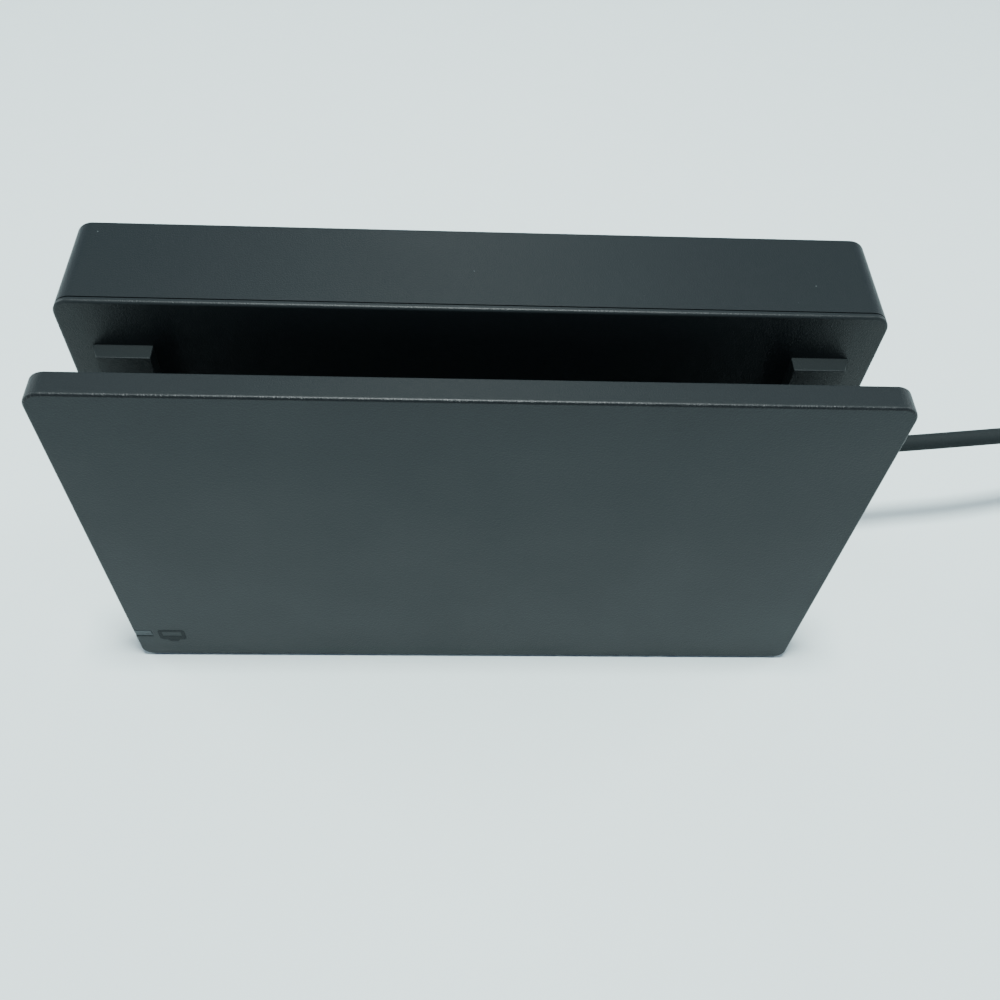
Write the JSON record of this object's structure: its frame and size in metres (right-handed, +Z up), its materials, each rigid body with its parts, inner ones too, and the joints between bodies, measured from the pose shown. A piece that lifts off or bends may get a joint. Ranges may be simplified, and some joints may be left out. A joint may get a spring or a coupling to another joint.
{
  "type": "handheld console dock",
  "caption": "Upright dock with an open slot that a handheld console drops into, a hinged rear cover over its cable ports, and a video lead coiled beside it.",
  "frame": {"origin": "centre of the dock's outline on the surface it stands on, cord left out", "axes": "+X to the right as seen from the front, +Y from the front panel to the rear cover, +Z up"},
  "size_m": [0.3636, 0.0725, 0.104],
  "materials": {
    "shell_plastic": "dark grey moulded plastic with a fine spark texture",
    "inner_plastic": "near-black moulded plastic",
    "foot_rubber": "matt black rubber",
    "port_steel": "drawn steel sheet",
    "board_laminate": "green glass-fibre laminate with solder mask",
    "chip_resin": "black moulding resin",
    "light_plastic": "clear diffusing plastic",
    "ribbon_film": "polyester film over flat conductors",
    "screw_steel": "black zinc steel",
    "cable_jacket": "soft black cable jacket",
    "strap_fabric": "woven hook-and-loop strap"
  },
  "bodies": {
    "dock": {"front_cover": "shell_plastic", "cradle_frame": "shell_plastic", "rear_housing": "shell_plastic", "bottom_cover": "shell_plastic", "video_port_tongue": "inner_plastic", "data_port_tongue": "inner_plastic", "power_port_tongue": "inner_plastic", "side_data_port_lower_tongue": "inner_plastic", "side_data_port_upper_tongue": "inner_plastic", "console_ribbon_socket": "inner_plastic", "light_ribbon_socket": "inner_plastic", "foot_front_left": "foot_rubber", "foot_front_right": "foot_rubber", "foot_rear_left": "foot_rubber", "foot_rear_right": "foot_rubber", "video_port": "port_steel", "data_port": "port_steel", "power_port": "port_steel", "side_data_port_lower": "port_steel", "side_data_port_upper": "port_steel", "board_shield": "port_steel", "centring_spring_left": "port_steel", "centring_spring_right": "port_steel", "near_plug_tip": "port_steel", "far_plug_tip": "port_steel", "main_board": "board_laminate", "side_board": "board_laminate", "light_board": "board_laminate", "video_chip": "chip_resin", "hub_chip": "chip_resin", "light_pipe": "light_plastic", "status_light": "light_plastic", "console_ribbon": "ribbon_film", "light_ribbon": "ribbon_film", "side_ribbon": "ribbon_film", "housing_screws": "screw_steel", "base_screws": "screw_steel", "board_screws": "screw_steel", "near_plug_body": "cable_jacket", "near_plug_relief": "cable_jacket", "far_plug_body": "cable_jacket", "far_plug_relief": "cable_jacket", "cable_lead": "cable_jacket", "cable_coil": "cable_jacket", "cable_tail": "cable_jacket", "cable_tie": "strap_fabric"},
    "rear_cover": {"rear_cover": "shell_plastic"},
    "connector": {"connector_carrier": "inner_plastic", "console_plug": "port_steel", "plug_board": "board_laminate", "plug_ribbon_socket": "inner_plastic"}
  },
  "joints": [
    {"name": "rear_cover_hinge", "type": "hinge", "parent": "dock", "child": "rear_cover", "pos_m": [-0.0805, 0.025, 0.052], "axis": [0, 0, 1], "range_deg": [0, 110]},
    {"name": "connector_tilt", "type": "hinge", "parent": "dock", "child": "connector", "pos_m": [0, -0.01295, 0.007], "axis": [1, 0, 0], "range_deg": [-4, 4], "stiffness_Nm_per_rad": 0.05}
  ]
}
